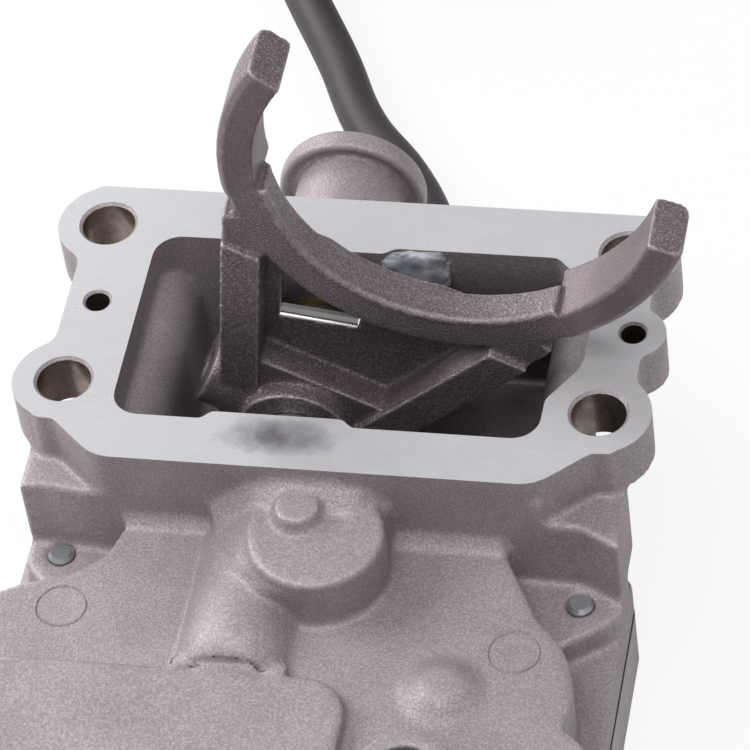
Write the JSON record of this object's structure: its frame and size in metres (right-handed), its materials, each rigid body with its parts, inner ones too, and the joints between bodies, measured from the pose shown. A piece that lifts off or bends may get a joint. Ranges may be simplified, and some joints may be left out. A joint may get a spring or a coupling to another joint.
{
  "type": "differential shift actuator",
  "caption": "Die-cast shift actuator with a four-bolt flange, an open fork cavity, a leaning shift fork, a geared motor inside and a sheathed lead.",
  "frame": {"origin": "centre of the four flange bolt holes, on the machined flange face", "axes": "+Z out of the flange face towards the axle housing, +X along the flange's long side, -Y towards the motor end"},
  "size_m": [0.162, 0.4, 0.1329],
  "materials": {
    "cast_aluminium": "matte",
    "forged_steel": "matte",
    "ground_steel": "satin",
    "zinc_steel": "satin",
    "spring_steel": "satin",
    "bronze": "satin",
    "black_rubber": "matte",
    "lead_sheath": "matte",
    "black_plastic": "matte",
    "white_plastic": "matte",
    "brass_tracks": "satin",
    "ferrite": "matte",
    "lamination": "satin",
    "copper": "satin",
    "carbon": "matte",
    "board_green": "matte",
    "seal_silicone": "matte"
  },
  "bodies": {
    "housing": {"main_housing": "cast_aluminium", "bottom_cover": "cast_aluminium", "cover_gasket": "black_rubber", "cover_screws": "zinc_steel", "breather_cap": "black_plastic", "front_bush": "bronze", "rear_bush": "bronze", "shaft_seal": "black_rubber", "gear_axle": "ground_steel", "wheel_axle": "ground_steel", "worm_end_bush": "bronze", "motor_can": "zinc_steel", "motor_end_plate": "black_plastic", "motor_bushes": "bronze", "motor_magnets": "ferrite", "motor_screws": "zinc_steel", "motor_brushes": "carbon", "switch_board": "board_green", "wiper_contacts": "brass_tracks", "lead_grommet": "black_rubber", "lead": "lead_sheath", "lead_coil": "lead_sheath", "lead_tail": "lead_sheath", "connector_shell": "black_plastic", "connector_seal": "seal_silicone", "connector_terminals": "brass_tracks"},
    "rack_carriage": {"rack_slider": "ground_steel"},
    "fork_assembly": {"shift_fork": "forged_steel", "fork_shaft": "ground_steel", "fork_pin": "zinc_steel", "wait_spring": "spring_steel", "spring_washers": "zinc_steel", "shaft_snap_rings": "spring_steel"},
    "gear": {"drive_gear": "white_plastic", "rack_pinion": "ground_steel", "contact_disc": "brass_tracks"},
    "wheel": {"worm_wheel": "white_plastic", "wheel_pinion": "ground_steel"},
    "rotor": {"rotor_shaft": "ground_steel", "rotor_core": "lamination", "rotor_winding": "copper", "commutator": "copper", "worm": "ground_steel"}
  },
  "joints": [
    {"name": "motor_spin", "type": "hinge", "parent": "housing", "child": "rotor", "pos_m": [0, -0.10205, -0.037], "axis": [1, 0, 0], "range_deg": [0, 12134]},
    {"name": "worm_wheel_turn", "type": "hinge", "parent": "housing", "child": "wheel", "pos_m": [0.0305, -0.07805, -0.04], "axis": [0, 0, 1], "range_deg": [-338, 0]},
    {"name": "drive_gear_turn", "type": "hinge", "parent": "housing", "child": "gear", "pos_m": [0.0031, -0.051, -0.04], "axis": [0, 0, 1], "range_deg": [0, 96]},
    {"name": "fork_shift", "type": "slide", "parent": "housing", "child": "rack_carriage", "axis": [0, -1, 0], "range_m": [0, 0.01]},
    {"name": "fork_swing", "type": "hinge", "parent": "rack_carriage", "child": "fork_assembly", "pos_m": [-0.0115, 0, -0.024], "axis": [0, -1, 0], "range_deg": [0, 31.5]}
  ],
  "couplings": [
    {"joint": "drive_gear_turn", "follows": "fork_shift", "rad_per_m": 166.67},
    {"joint": "worm_wheel_turn", "follows": "fork_shift", "rad_per_m": -588.24},
    {"joint": "motor_spin", "follows": "fork_shift", "rad_per_m": 21176}
  ]
}
